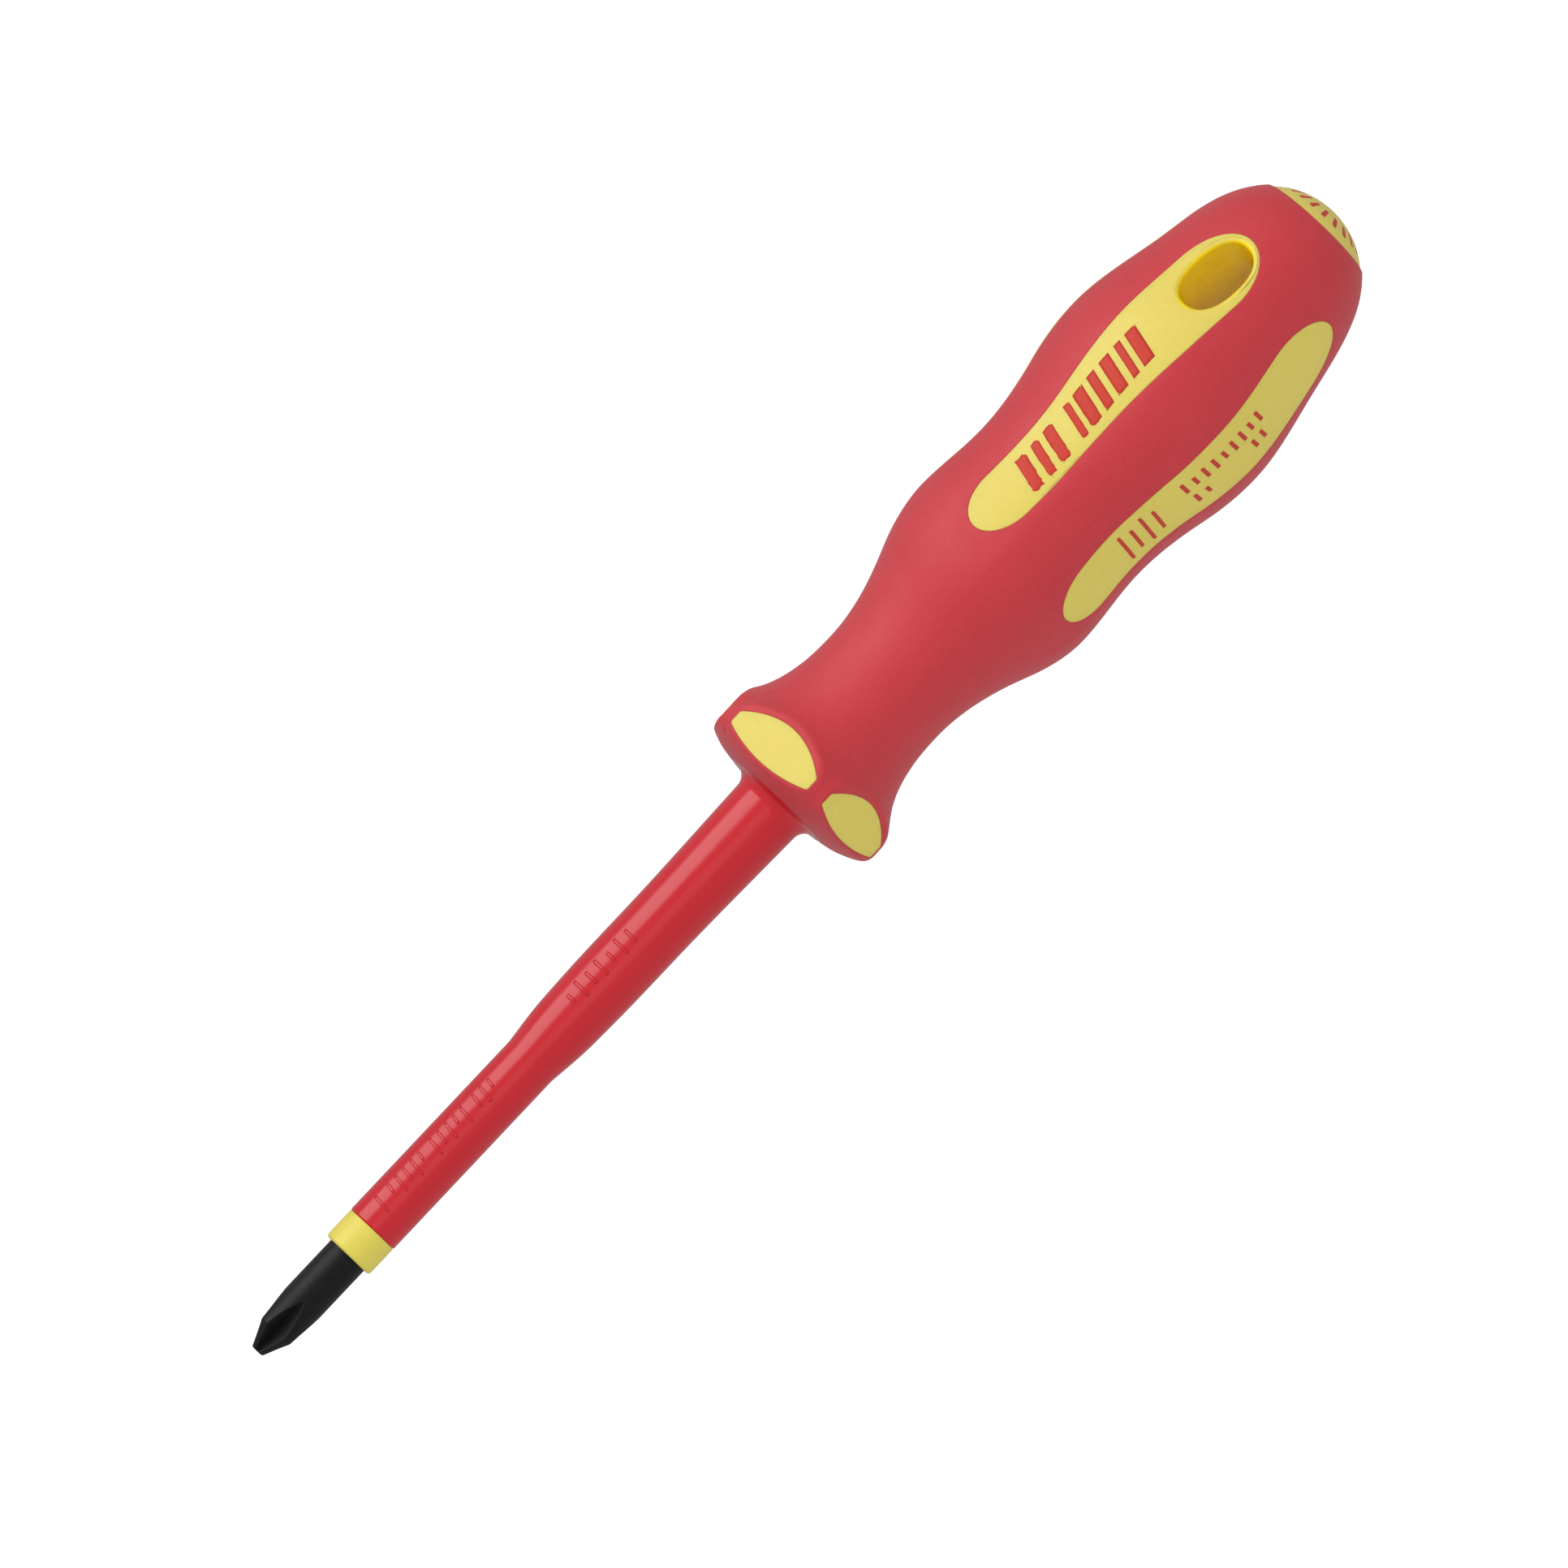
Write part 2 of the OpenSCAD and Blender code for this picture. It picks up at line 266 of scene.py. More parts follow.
class Finish:
    """A procedural material made of a Principled shader, and its colour, roughness and bump patterns."""

    def __init__(self, name, **constants):
        self.material = bpy.data.materials.new(name)
        self.material.use_nodes = True
        self.tree = self.material.node_tree
        self.shader = self.tree.nodes["Principled BSDF"]
        self.where = self.tree.nodes.new("ShaderNodeTexCoord").outputs["Object"]
        self.normal = None
        for socket, value in constants.items():
            self.shader.inputs[socket.replace("_", " ")].default_value = value

    def noise(self, size_mm, detail=2.0, rough=0.5, stretch=None):
        """A noise pattern whose features are about size_mm wide."""
        node = self.tree.nodes.new("ShaderNodeTexNoise")
        node.inputs["Scale"].default_value = 1000 / size_mm
        node.inputs["Detail"].default_value = detail
        node.inputs["Roughness"].default_value = rough
        place = self.where
        if stretch:
            scale = self.tree.nodes.new("ShaderNodeMapping")
            scale.inputs["Scale"].default_value = stretch
            self.tree.links.new(place, scale.inputs["Vector"])
            place = scale.outputs["Vector"]
        self.tree.links.new(place, node.inputs["Vector"])
        return node.outputs["Fac"]

    def out_of_hole(self, low, high):
        """0 to 1 between two sizes of an ellipse round the hanging hole, whose wall is size 1. It places
        the painted light on the hole's wall.
        """
        shift = self.tree.nodes.new("ShaderNodeVectorMath")
        shift.operation = "SUBTRACT"
        shift.inputs[1].default_value = ((FRONT + HOLE_AT) * MM, 0, 0)
        self.tree.links.new(self.where, shift.inputs[0])
        shrink = self.tree.nodes.new("ShaderNodeVectorMath")
        shrink.operation = "MULTIPLY"
        shrink.inputs[1].default_value = (2 / (HOLE_LEN * MM), 1 / (HOLE_R * MM), 0)
        self.tree.links.new(shift.outputs["Vector"], shrink.inputs[0])
        away = self.tree.nodes.new("ShaderNodeVectorMath")
        away.operation = "LENGTH"
        self.tree.links.new(shrink.outputs["Vector"], away.inputs[0])
        spread = self.tree.nodes.new("ShaderNodeMapRange")
        spread.inputs["From Min"].default_value = low
        spread.inputs["From Max"].default_value = high
        self.tree.links.new(away.outputs["Value"], spread.inputs["Value"])
        return spread.outputs["Result"]

    def ramp(self, value, low, high, colours):
        """Maps a pattern to a colour between two, or three spread evenly."""
        node = self.tree.nodes.new("ShaderNodeValToRGB")
        stops = node.color_ramp.elements
        while len(stops) < len(colours):
            stops.new(0.5)
        for k, colour in enumerate(colours):
            stops[k].position = low + (high - low) * k / (len(colours) - 1)
            stops[k].color = colour
        self.tree.links.new(value, node.inputs["Fac"])
        return node.outputs["Color"]

    def mix(self, amount, a, b):
        """Colour a where amount is 0, and b where it is 1."""
        node = self.tree.nodes.new("ShaderNodeMix")
        node.data_type = "RGBA"
        self.tree.links.new(amount, node.inputs[0])
        self.tree.links.new(a, node.inputs[6])
        self.tree.links.new(b, node.inputs[7])
        return node.outputs[2]

    def colour(self, value):
        self.tree.links.new(value, self.shader.inputs["Base Color"])

    def roughness(self, value, low, high):
        """Spreads the roughness from low to high over a 0 to 1 pattern."""
        node = self.tree.nodes.new("ShaderNodeMapRange")
        node.inputs["To Min"].default_value = low
        node.inputs["To Max"].default_value = high
        self.tree.links.new(value, node.inputs["Value"])
        self.tree.links.new(node.outputs["Result"], self.shader.inputs["Roughness"])

    def bump(self, value, height_mm, strength=1.0):
        """Adds relief about height_mm deep on top of any before it."""
        node = self.tree.nodes.new("ShaderNodeBump")
        node.inputs["Strength"].default_value = strength
        node.inputs["Distance"].default_value = height_mm * MM
        self.tree.links.new(value, node.inputs["Height"])
        if self.normal:
            self.tree.links.new(self.normal, node.inputs["Normal"])
        self.normal = node.outputs["Normal"]
        self.tree.links.new(self.normal, self.shader.inputs["Normal"])


def grip_finish():
    """Soft red covering: fine sparked texture, dull, with faint flow marks."""
    f = Finish("soft_red", Specular_IOR_Level=0.5, Sheen_Weight=0.04, Sheen_Roughness=0.4)
    tint = f.ramp(f.noise(7, 3), 0.3, 0.7, [(0.492, 0.031, 0.042, 1), (0.522, 0.036, 0.048, 1)])
    speck = f.ramp(f.noise(0.5, 2), 0.25, 0.75, [(0.472, 0.029, 0.039, 1), (0.537, 0.038, 0.051, 1)])
    f.colour(f.mix(f.noise(1.6, 2), tint, speck))
    f.roughness(f.noise(2.5, 3), 0.5, 0.66)
    f.bump(f.noise(0.22, 2, 0.6), 0.016, 0.8)
    f.bump(f.noise(3.5, 2), 0.03, 0.5)
    return f.material


def sleeve_finish():
    """Glossy red sleeve: smooth, with long faint drawing marks and a slight orange peel."""
    f = Finish("glossy_red", Specular_IOR_Level=0.5)
    f.colour(f.ramp(f.noise(9, 3, stretch=(0.15, 1, 1)), 0.3, 0.7,
                    [(0.49, 0.010, 0.019, 1), (0.53, 0.014, 0.025, 1)]))
    f.roughness(f.noise(2, 3, stretch=(0.2, 1, 1)), 0.17, 0.27)
    f.bump(f.noise(1.1, 2, stretch=(0.3, 1, 1)), 0.012, 0.5)
    return f.material


def core_finish(name, deep):
    """Hard yellow core: satin, with a very fine mould texture. With deep set, the wall of the hanging
    hole is painted with light: a brighter, fuller yellow in its base colour stands in for the light that
    bounces round the hole and shines through the plastic there."""
    f = Finish(name, Specular_IOR_Level=0.5, Subsurface_Weight=0.3,
               Subsurface_Radius=(3.0, 1.9, 0.3), Subsurface_Scale=MM)
    warm = f.ramp(f.noise(11, 3), 0.3, 0.7, [(0.675, 0.552, 0.098, 1), (0.700, 0.574, 0.112, 1)])
    pale = f.ramp(f.noise(0.8, 2), 0.3, 0.7, [(0.665, 0.542, 0.092, 1), (0.712, 0.588, 0.118, 1)])
    surface = f.mix(f.noise(2.2, 2), warm, pale)
    if deep:
        # painted light: a brighter, more saturated yellow on the hole's wall, in place of the light
        # bounced round the hole and shone through the plastic
        inside = f.ramp(f.noise(2.0, 2), 0.3, 0.7, [(0.88, 0.63, 0.004, 1), (0.94, 0.70, 0.008, 1)])
        surface = f.mix(f.out_of_hole(1.06, 1.13), inside, surface)
    f.colour(surface)
    f.roughness(f.noise(1.8, 3), 0.38, 0.5)
    f.bump(f.noise(0.3, 2), 0.008, 0.7)
    return f.material


def collar_finish():
    """Yellow inner insulation: a slightly greener, smoother yellow than the core."""
    f = Finish("collar_yellow", Specular_IOR_Level=0.4)
    f.colour(f.ramp(f.noise(3, 3, stretch=(0.4, 1, 1)), 0.3, 0.7,
                    [(0.660, 0.560, 0.085, 1), (0.690, 0.590, 0.098, 1)]))
    f.roughness(f.noise(0.9, 3), 0.34, 0.46)
    f.bump(f.noise(0.5, 2), 0.008, 0.6)
    return f.material


def steel_finish():
    """Black phosphated steel: dark, fine-grained and a little uneven."""
    f = Finish("black_steel", Specular_IOR_Level=0.26)
    f.colour(f.ramp(f.noise(0.7, 4, 0.6), 0.3, 0.75,
                    [(0.003, 0.003, 0.003, 1), (0.007, 0.007, 0.007, 1)]))
    f.roughness(f.noise(0.5, 3), 0.36, 0.52)
    f.bump(f.noise(0.16, 3, 0.6), 0.012, 0.7)
    f.bump(f.noise(0.9, 2, stretch=(1, 0.3, 0.3)), 0.01, 0.4)
    return f.material


def ink_finish():
    """Printing on the yellow core: a thin dull red-brown ink, a little uneven."""
    f = Finish("print_ink", Specular_IOR_Level=0.35)
    f.colour(f.ramp(f.noise(0.35, 3), 0.25, 0.75, [(0.49, 0.032, 0.018, 1), (0.55, 0.045, 0.024, 1)]))
    f.roughness(f.noise(0.6, 2), 0.45, 0.6)
    f.bump(f.noise(0.2, 2), 0.004, 0.5)
    return f.material


def hub_finish():
    """Grey hard plastic of the hub inside the handle."""
    f = Finish("hub_grey", Specular_IOR_Level=0.4)
    f.colour(f.ramp(f.noise(4, 3), 0.3, 0.7, [(0.24, 0.25, 0.26, 1), (0.29, 0.30, 0.31, 1)]))
    f.roughness(f.noise(1.2, 2), 0.45, 0.6)
    f.bump(f.noise(0.4, 2), 0.01, 0.6)
    return f.material


SOFT_RED = grip_finish()
GLOSSY_RED = sleeve_finish()
# this core material carries the painted light on the hanging hole's wall
CORE_YELLOW = core_finish("core_yellow", True)
CAP_YELLOW = core_finish("cap_yellow", False)
COLLAR_YELLOW = collar_finish()
BLACK_STEEL = steel_finish()
INK = ink_finish()
HUB_GREY = hub_finish()


# ---- windows: the outlines where the yellow core shows ----

class Window:
    """A window in one side of the grip, with a closed outline in (h, across)."""

    def __init__(self, half, counts, corners, shift=0.0):
        """half is half of the outline, from the front's middle to the back's middle. counts are the
        steps of it that face the front, side and back edges of the sector round the window. corners
        are the lengths of outline, from each end, that face the front and the back. shift moves the
        window across."""
        half = np.asarray(half, float)
        length = np.concatenate([[0], np.cumsum(np.hypot(*np.diff(half, axis=0).T))])
        cuts = [0, corners[0], length[-1] - corners[1], length[-1]]
        marks = np.concatenate([np.linspace(a, b, n, endpoint=False)
                                for a, b, n in zip(cuts, cuts[1:], counts)] + [[length[-1]]])
        h = np.interp(marks, length, half[:, 0])
        across = np.interp(marks, length, half[:, 1])
        self.counts = counts
        self.h = np.concatenate([h, h[-2:0:-1]])
        self.across = np.concatenate([across, -across[-2:0:-1]]) + shift
        before = np.roll(self.h, 1), np.roll(self.across, 1)
        after = np.roll(self.h, -1), np.roll(self.across, -1)
        along_h, along_a = after[0] - before[0], after[1] - before[1]
        size = np.hypot(along_h, along_a)
        self.out_h, self.out_a = -along_a / size, along_h / size

    def moved(self, distance):
        """The outline moved outwards by a distance: h and across."""
        return self.h + self.out_h * distance, self.across + self.out_a * distance

    def frame_edge(self, v_front, v_back):
        """The sector's own edge round the window, in (v, delta), point for point with the outline."""
        front, side, back = self.counts
        v = np.concatenate([np.full(front, v_front), np.linspace(v_front, v_back, side, endpoint=False),
                            np.full(back + 1, v_back)])
        delta = np.concatenate([np.linspace(0, HALF_SIDE, front, endpoint=False),
                                np.full(side, HALF_SIDE), np.linspace(HALF_SIDE, 0, back + 1)])
        return np.concatenate([v, v[-2:0:-1]]), np.concatenate([delta, -delta[-2:0:-1]])


def panel_outline(front, back_half, swell_end, back, back_round):
    """Half of a long panel's outline: narrow in front, wide behind, with elliptical ends. back_half
    is half its width behind, which it reaches at swell_end."""
    front_round, front_half = 6.0, 3.95
    swell_start = 58.0
    a = np.radians(np.linspace(0, 90, 40))
    h = np.concatenate([front + front_round * (1 - np.cos(a)),
                        np.linspace(front + front_round, back - back_round, 60)[1:-1],
                        (back - back_round * (1 - np.cos(a)))[::-1]])
    half = front_half + (back_half - front_half) * ease((h - swell_start) / (swell_end - swell_start))
    ends = np.concatenate([np.sin(a), np.ones(58), np.sin(a)[::-1]])
    return np.column_stack([h, half * ends])


def pad_outline():
    """Half of a guard pad's outline: two bowed edges and a short blunt end."""
    half_len = 7.4
    across = half_len * np.sin(np.radians(np.linspace(0, 90, 40)))
    bow = (across / half_len) ** 2
    front, front_bow = 1.65, 1.35            # h of the front edge's middle, and how far it bows
    back, back_bow = 7.8, 2.9
    return np.vstack([np.column_stack([front + front_bow * bow, across]),
                      np.column_stack([back - back_bow * bow, across])[::-1]])


RING_STEPS = 20                              # steps round the handle in half of one side
PANEL_COUNTS = (RING_STEPS, 84, RING_STEPS)
PANEL_CORNERS = (7.0, 8.0)
PANEL_A = Window(panel_outline(43.5, 5.3, 81, 96.4, 8.0), PANEL_COUNTS, PANEL_CORNERS, -0.25)
PANELS = [PANEL_A] + [
    Window(panel_outline(43.2, 5.0, 76, 95.8, 8.5), PANEL_COUNTS, PANEL_CORNERS, shift)
    for shift in (0.4, 0.0, 0.0, -0.5)
]
PAD = Window(pad_outline(), (RING_STEPS, 8, RING_STEPS), (7.7, 8.0))

LIP = 0.11                                   # rounding of the red lip round a window
YELLOW_LIP = 0.09                            # rounding of the yellow edge inside it
YELLOW_FLAT = YELLOW_LIP + 0.15              # this far inside its edge the yellow surface is plain
GAP = 0.015                                  # groove left between the two
SINK = 1.5                                   # thickness of the covering, at the walls of a window
CORE_SINK = 0.8                              # how much deeper the core's plates go
SECTOR_FRONT, SECTOR_BACK = v_of(41.2), v_of(99.0)
GUARD_FRONT, GUARD_BACK = v_of(0.75), v_of(11.6)


def panel_delta(h, across):
    """A panel point's angle from the middle of its side."""
    delta = np.arcsin(across / radius_of(h))
    for _ in range(4):
        delta = np.arcsin(across / section(h, delta))
    return delta


def pad_delta(h, across):
    """A pad point's angle from the middle of its side. The pads lie on the guard's flats."""
    return np.arctan(across / GUARD_FLAT)


def lip_rings(radius, steps=5):
    """(distance from the edge, depth below the surface) down a rounded edge, surface first."""
    a = np.radians(np.linspace(90, 0, steps + 1))
    return [(radius * (1 - math.cos(t)), radius * (1 - math.sin(t))) for t in a]


def window_sector(shell, window, side, to_delta, v_front, v_back, rings):
    """The red surface of one sector, from its edge to its window, with the lip and the window's wall."""
    outer_ring, inner_ring = 0.6, 0.3        # the plain surface's last two rings before the lip
    v_edge, delta_edge = window.frame_edge(v_front, v_back)
    h_in, across_in = window.moved(GAP + outer_ring)
    v_in, delta_in = v_of(h_in), to_delta(h_in, across_in)
    rows = []
    for u in np.linspace(1, 0, rings) ** 1.25:
        v = v_in + (v_edge - v_in) * u
        delta = delta_in + (delta_edge - delta_in) * u
        rows.append(on_handle(h_of(v), section(h_of(v), delta), delta, side))
    for away, depth in [(inner_ring, 0)] + lip_rings(LIP) + [(0, SINK)]:
        h, across = window.moved(GAP + away)
        delta = to_delta(h, across)
        rows.append(on_handle(h, section(h, delta) - depth, delta, side))
    shell.grid(np.stack(rows), wrap_cols=True)
    # the inner skin, from the window's wall back to the sector's edge
    rows = [rows[-1]]
    for u in (0.5, 1):
        v = v_of(window.h) + (v_edge - v_of(window.h)) * u
        delta = to_delta(window.h, window.across) * (1 - u) + delta_edge * u
        rows.append(on_handle(h_of(v), section(h_of(v), delta) - SINK, delta, side))
    shell.grid(np.stack(rows), wrap_cols=True)


def ring_deltas():
    """Angles of the points round the handle that every sector's front and back edge shares."""
    return np.linspace(-HALF_SIDE, HALF_SIDE, 2 * RING_STEPS + 1)


def band(shell, places, depths):
    """A band right round the handle through the given h values, each at a depth below the surface."""
    for side in range(SIDES):
        delta = ring_deltas()
        rows = [on_handle(np.full_like(delta, h), section(h, delta) - depth, delta, side)
                for h, depth in zip(places, depths)]
        shell.grid(np.stack(rows))


def soft_grip():
    """The red covering: a sector round each window, bands between them, and the two seats."""
    shell = Shell()
    for side in range(SIDES):
        window_sector(shell, PANELS[side], side, panel_delta, SECTOR_FRONT, SECTOR_BACK, 18)
        window_sector(shell, PAD, side, pad_delta, GUARD_FRONT, GUARD_BACK, 20)
    neck = h_of(np.linspace(GUARD_BACK, SECTOR_FRONT, 60))
    band(shell, neck, np.zeros(60))
    inner_neck = np.append(neck[::6], neck[-1])
    band(shell, inner_neck, np.full(len(inner_neck), SINK))
    # the front, from the guard's sectors to the seam round the flange
    front = h_of(np.linspace(GUARD_FRONT, 0, 12))
    band(shell, front, np.zeros(12))
    # the back, from the panels' sectors to the seam round the cap
    back = h_of(np.linspace(SECTOR_BACK, GRIP_V[-1], 26))
    band(shell, back, np.zeros(26))
    for edge, sector_edge, seat_depth, seat in ((SEAM, GUARD_FRONT, 1.3, FLANGE_R),
                                                (HANDLE_LEN, SECTOR_BACK, -1.3, CAP_R)):
        for side in range(SIDES):
            delta = ring_deltas()
            rim = section(edge, delta)
            flat = np.full_like(delta, edge)
            rows = [on_handle(flat, rim, delta, side),
                    on_handle(flat - seat_depth * 0.05, rim + (seat - rim) * 0.4, delta, side),
                    on_handle(flat - seat_depth * 0.05, rim + (seat - rim) * 0.75, delta, side),
                    on_handle(flat, seat, delta, side),
                    on_handle(flat + seat_depth, seat, delta, side),
                    on_handle(np.full_like(delta, h_of(sector_edge)),
                              section(h_of(sector_edge), delta) - SINK, delta, side)]
            shell.grid(np.stack(rows) if seat == CAP_R else np.stack(rows[:1] + rows[4:]))
    piece = shell.make("soft_grip_shell", SOFT_RED)
    cut_hole_exit(piece)
    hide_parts("soft_grip")


# ---- hanging hole ----

RIM = 1.3                                    # width of the core's rim round the hole's back mouth
RIM_PROUD = 0.12                             # and how far it stands proud of the grip


def hole_outline(grow, counts, spread):
    """Outline of the hanging hole, grown by a distance, as (h, across), point for point with a
    panel's outline. spread is the share of the half outline that each count covers."""
    turn = np.linspace(0, math.pi, 361)
    bend = 2 / 2.35                          # below 1, which fills an ellipse out towards a slot
    line_h = HOLE_AT - np.sign(np.cos(turn)) * np.abs(np.cos(turn)) ** bend * (HOLE_LEN / 2 + grow)
    line_across = np.abs(np.sin(turn)) ** bend * (HOLE_R + grow)
    length = np.concatenate([[0], np.cumsum(np.hypot(np.diff(line_h), np.diff(line_across)))])
    cuts = np.concatenate([[0], np.cumsum(spread)]) * length[-1]
    marks = np.concatenate([np.linspace(a, b, n, endpoint=False)
                            for a, b, n in zip(cuts, cuts[1:], counts)] + [[length[-1]]])
    h = np.interp(marks, length, line_h)
    across = np.interp(marks, length, line_across)
    return np.concatenate([h, h[-2:0:-1]]), np.concatenate([across, -across[-2:0:-1]])


def upright(h, across, z):
    """Places given by h, across and height, where across is -Y for the hole's side."""
    return np.stack(np.broadcast_arrays(FRONT + h, -across, z), axis=-1)


def top_height(h, across):
    """Height of the handle's surface over the hole's side."""
    delta = panel_delta(h, across)
    return section(h, delta) * np.cos(delta)


def back_height(h, across):
    """Height of the rim round the hole's back mouth, which lies below the axis."""
    r = radius_of(h) + RIM_PROUD
    return -np.sqrt(r * r - across * across)


def drop_slivers(mesh, weld=0.01, least=20):
    """Clears what a cut leaves over: near-double points, and scraps of fewer faces than least."""
    body = bmesh.new()
    body.from_mesh(mesh)
    bmesh.ops.remove_doubles(body, verts=body.verts, dist=weld * MM)
    bmesh.ops.dissolve_degenerate(body, dist=weld * MM * 0.5, edges=body.edges)
    bmesh.ops.triangulate(body, faces=body.faces)
    waiting = set(body.faces)
    scraps = []
    while waiting:
        patch = [waiting.pop()]
        for face in patch:
            for edge in face.edges:
                if len(edge.link_faces) == 2:
                    for other in edge.link_faces:
                        if other in waiting:
                            waiting.remove(other)
                            patch.append(other)
        if len(patch) < least:
            scraps += patch
    bmesh.ops.delete(body, geom=scraps, context="FACES")
    body.to_mesh(mesh)
    body.free()


def cut_hole_exit(grip):
    """Cuts the rim's opening out of the back of the grip."""
    h, across = hole_outline(RIM + GAP, PANEL_A.counts, (0.3, 0.4, 0.3))
    across = across + 0.004                  # so that no point lies right on an edge of the grip
    shell = Shell()
    rows = [upright(h, across, np.full_like(h, z)) for z in (-5.0, -20.0)]
    shell.grid(np.stack(rows), wrap_cols=True)
    shell.fan(rows[0])
    shell.fan(rows[1])
    cutter = shell.make("hole_cutter", SOFT_RED)
    cut = grip.modifiers.new("hole", "BOOLEAN")
    cut.operation = "DIFFERENCE"
    cut.solver = "EXACT"
    cut.object = cutter
    graph = bpy.context.evaluated_depsgraph_get()
    mesh = bpy.data.meshes.new_from_object(grip.evaluated_get(graph))
    drop_slivers(mesh)
    grip.modifiers.clear()
    grip.data = mesh
    bpy.data.objects.remove(cutter)


def panel_plate(shell, window, side, to_delta, spine):
    """A closed plate of the core that fills a window. Its top comes to a line, the spine, given as
    the lowest and highest (h, across) that it may reach."""
    inner_h = np.clip(window.h, *spine[0])
    inner_across = np.clip(window.across, *spine[1])
    # a point of the front edge and its partner on the back edge end in the same place
    count = len(inner_across)
    inner_across = (inner_across + inner_across[(count // 2 - np.arange(count)) % count]) / 2
    rows = []
    flat_h, flat_across = window.moved(-YELLOW_FLAT)
    for u in np.linspace(1, 0, 9):
        h = flat_h + (inner_h - flat_h) * u
        across = flat_across + (inner_across - flat_across) * u
        delta = to_delta(h, across)
        rows.append(on_handle(h, section(h, delta), delta, side))
    for away, depth in lip_rings(YELLOW_LIP) + [(0, SINK + CORE_SINK)]:
        h, across = window.moved(-away)
        delta = to_delta(h, across)
        rows.append(on_handle(h, section(h, delta) - depth, delta, side))
    for u in (0.5, 1):
        h = window.h + (inner_h - window.h) * u
        across = window.across + (inner_across - window.across) * u
        delta = to_delta(h, across)
        rows.append(on_handle(h, section(h, delta) - SINK - CORE_SINK, delta, side))
    shell.grid(np.stack(rows), wrap_cols=True)


def holed_panel(shell):
    """The panel with the hanging hole: its top, the hole's rounded mouth, wall and back rim, closed
    round the inside of the handle."""
    mouth = 0.7                              # rounding of both of the hole's mouths
    spread = (0.22, 0.56, 0.22)
    counts = PANEL_A.counts
    rows = []
    h, across = PANEL_A.h, PANEL_A.across
    rows.append(upright(h, across, top_height(h, across) - SINK - 1.2))
    for away, depth in lip_rings(YELLOW_LIP)[::-1] + [(YELLOW_FLAT, 0)]:
        h, across = PANEL_A.moved(-away)
        rows.append(upright(h, across, top_height(h, across) - depth))
    edge_h, edge_across = PANEL_A.moved(-YELLOW_FLAT)
    mouth_h, mouth_across = hole_outline(mouth, counts, spread)
    for u in np.linspace(0, 1, 34)[1:-1]:
        h = edge_h + (mouth_h - edge_h) * u
        across = edge_across + (mouth_across - edge_across) * u
        rows.append(upright(h, across, top_height(h, across)))
    bend = np.radians(np.linspace(0, 90, 9))
    for a in bend:
        h, across = hole_outline(mouth * (1 - math.sin(a)), counts, spread)
        rows.append(upright(h, across, top_height(h, across) - mouth * (1 - math.cos(a))))
    top = rows[-1][:, 2]
    wall_h, wall_across = hole_outline(0, counts, spread)
    bottom = back_height(wall_h, wall_across) + mouth
    for u in np.linspace(0, 1, 24)[1:]:
        rows.append(upright(wall_h, wall_across, top + (bottom - top) * u))
    for a in bend[::-1][1:]:
        h, across = hole_outline(mouth * (1 - math.sin(a)), counts, spread)
        rows.append(upright(h, across, back_height(h, across) + mouth * (1 - math.cos(a))))
    for away, depth in lip_rings(YELLOW_LIP) + [(0, SINK + 0.5)]:
        h, across = hole_outline(RIM - away, counts, spread)
        rows.append(upright(h, across, back_height(h, across) + depth))
    shell.grid(np.stack(rows), wrap_rows=True, wrap_cols=True)


def handle_core():
    """The yellow core where it shows: a plate in every window, and the walls of the hanging hole."""
    shell = Shell()
    holed_panel(shell)
    for side in range(SIDES):
        if side:
            panel_plate(shell, PANELS[side], side, panel_delta, ((48.5, 90.0), (0, 0)))
        panel_plate(shell, PAD, side, pad_delta, ((5.0, 5.0), (-5.5, 5.5)))
    piece = shell.make("handle_core_shell", CORE_YELLOW, weld=0.0004)
    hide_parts("handle_core")


# ---- end cap, sleeve, collar ----

CAP_DOME_X = FRONT + HANDLE_LEN + CAP_RISE - CAP_DOME_R      # the middle of the dome's sphere
CAP_GAP = 0.03                               # groove between the cap and the grip


def end_cap():
    """The domed disc in the handle's end, with the stem that holds it."""
    stem_r, root_r = 4.2, 4.4
    stem_end, seat = FRONT + 98.2, FRONT + 103.3
    half = math.degrees(math.asin(CAP_R / CAP_DOME_R))
    end = FRONT + HANDLE_LEN
    edge = 0.25
    rim_r = CAP_R - CAP_GAP
    outline = np.vstack([
        [[stem_end, 0.001], [stem_end, stem_r], [seat, root_r], [seat, rim_r]],
        arc((end - edge, rim_r - edge), edge, 90, 90 - half, 4),
        arc((CAP_DOME_X, 0), CAP_DOME_R, half * 0.975, 0, 36),
    ])
    shell = Shell()
    lathe(shell, outline)
    piece = shell.make("end_cap_dome", CAP_YELLOW)
    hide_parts("end_cap")


def inner_insulation():
    """The yellow layer on the shank: a rounded collar, and the thinner part under the red sleeve."""
    edge, inner_edge, back_edge = 0.5, 0.15, 0.12
    bore = SHANK_R + 0.01
    back = SLEEVE_START - back_edge
    end = FRONT + SLEEVE_ROOT
    outline = np.vstack([
        arc((BARE_END + edge, COLLAR_R - edge), edge, 180, 90, 8),
        [[back, COLLAR_R]],
        arc((back, COLLAR_R - back_edge), back_edge, 90, 0, 4),
        [[SLEEVE_START, INNER_R], [end, INNER_R], [end, bore], [BARE_END + inner_edge, bore]],
        arc((BARE_END + inner_edge, bore + inner_edge), inner_edge, 270, 180, 4),
    ])
    outline = np.vstack([outline, outline[:1]])
    shell = Shell()
    lathe(shell, outline)
    piece = shell.make("inner_insulation_collar", COLLAR_YELLOW)
    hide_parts("inner_insulation")


SLEEVE_CURVE = hermite(SLEEVE_LINE, 24)


def sleeve_radius(x):
    """The red sleeve's radius at X."""
    return np.interp(x - FRONT, SLEEVE_CURVE[:, 0], SLEEVE_CURVE[:, 1])


